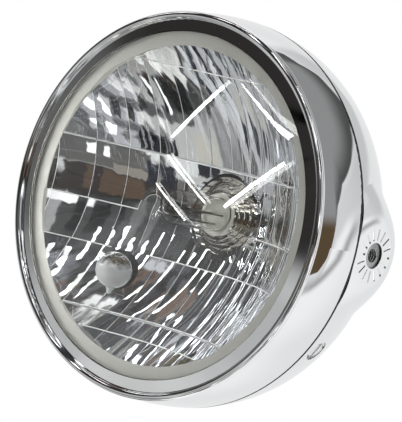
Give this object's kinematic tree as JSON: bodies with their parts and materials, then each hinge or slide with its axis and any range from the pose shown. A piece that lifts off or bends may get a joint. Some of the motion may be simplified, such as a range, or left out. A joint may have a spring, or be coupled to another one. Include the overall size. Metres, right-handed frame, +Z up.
{
  "type": "motorcycle headlight",
  "caption": "Round chromed headlight: bowl-shaped bucket with side mounts, beaded rim, domed clear lens, stepped mirror reflector, main bulb and a small position bulb.",
  "frame": {"origin": "centre of the lamp's box, on the axis of its round body and 3 mm behind the axis of the two side mounts", "axes": "the lens faces -Y, +Z is up, +X runs out of the right-hand side mount as seen from in front of the lens"},
  "size_m": [0.1914, 0.113, 0.1914],
  "materials": {
    "bucket_chrome": "polished",
    "rim_chrome": "polished",
    "black_rubber": "matt",
    "sealant": "matt",
    "lens_glass": "clear",
    "reflector_mirror": "vacuum metallised",
    "spring_steel": "bright wire",
    "zinc_steel": "zinc plated",
    "screw_chrome": "polished",
    "nut_steel": "plated",
    "bulb_metal": "satin",
    "bulb_glass": "clear",
    "filament_wire": "drawn wire",
    "insulator_ceramic": "matt",
    "terminal_brass": "tinned",
    "cap_brass": "bright"
  },
  "bodies": {
    "root": {"bucket": "bucket_chrome", "rim": "rim_chrome", "rim_seal": "black_rubber", "lens": "lens_glass", "lens_gasket": "black_rubber", "lens_seal": "sealant", "reflector": "reflector_mirror", "lamp_clips": "spring_steel", "rim_brackets": "zinc_steel", "rim_nuts": "zinc_steel", "rim_screws": "screw_chrome", "rim_hook": "zinc_steel", "mount_nut_right": "nut_steel", "mount_nut_left": "nut_steel", "bulb_cap": "bulb_metal", "bulb_glass": "bulb_glass", "bulb_shield": "bulb_metal", "bulb_main_filament": "filament_wire", "bulb_dip_filament": "filament_wire", "bulb_leads": "filament_wire", "bulb_insulator": "insulator_ceramic", "bulb_terminals": "terminal_brass", "bulb_spring": "spring_steel", "bulb_spring_screw": "zinc_steel", "bulb_boot": "black_rubber", "position_holder": "black_rubber", "position_cap": "cap_brass", "position_glass": "bulb_glass", "position_filament": "filament_wire", "cable_grommet": "black_rubber"}
  },
  "joints": []
}
